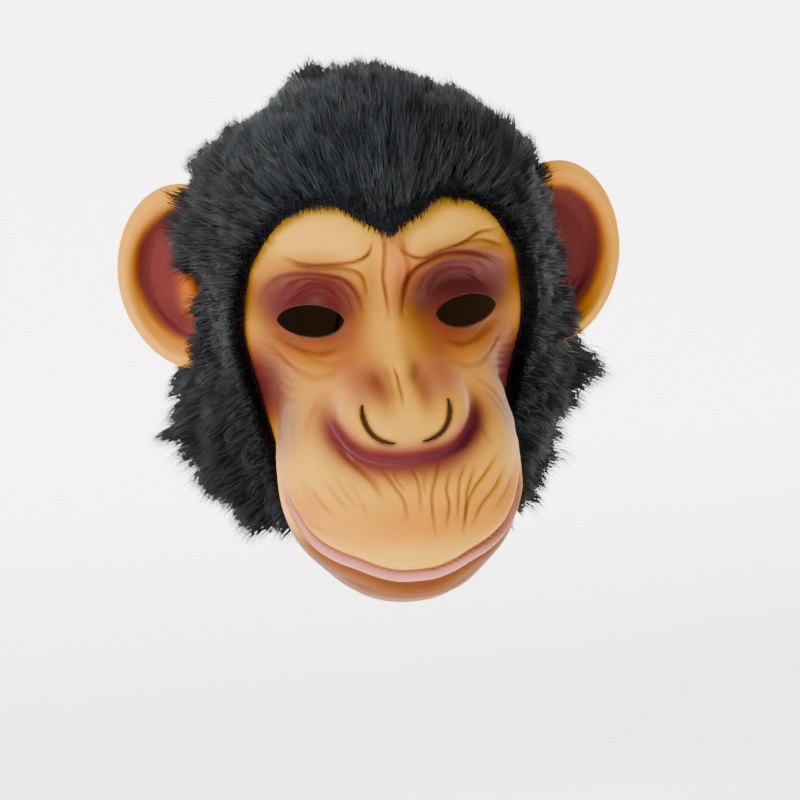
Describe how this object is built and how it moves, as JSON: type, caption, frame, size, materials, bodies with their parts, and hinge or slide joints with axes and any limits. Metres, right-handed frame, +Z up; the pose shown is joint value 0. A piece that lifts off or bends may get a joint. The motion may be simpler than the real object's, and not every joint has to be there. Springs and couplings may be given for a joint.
{
  "type": "chimpanzee mask",
  "caption": "Full-head latex chimpanzee mask with a moulded face, open eyes and nostrils, cupped ears and a black fake-fur hood, open at the neck.",
  "frame": {"origin": "the inside of the latex at the crown, where it rests on the wearer's head", "axes": "+Z up, the face looks along -Y, +X is to the right as the viewer faces the mask"},
  "size_m": [0.2756, 0.2779, 0.2601],
  "materials": {
    "latex": "satin",
    "fur": "fuzzy"
  },
  "bodies": {
    "root": {"latex_head": "latex", "left_ear": "latex", "right_ear": "latex", "left_fur_panel": "fur", "right_fur_panel": "fur"}
  },
  "joints": []
}
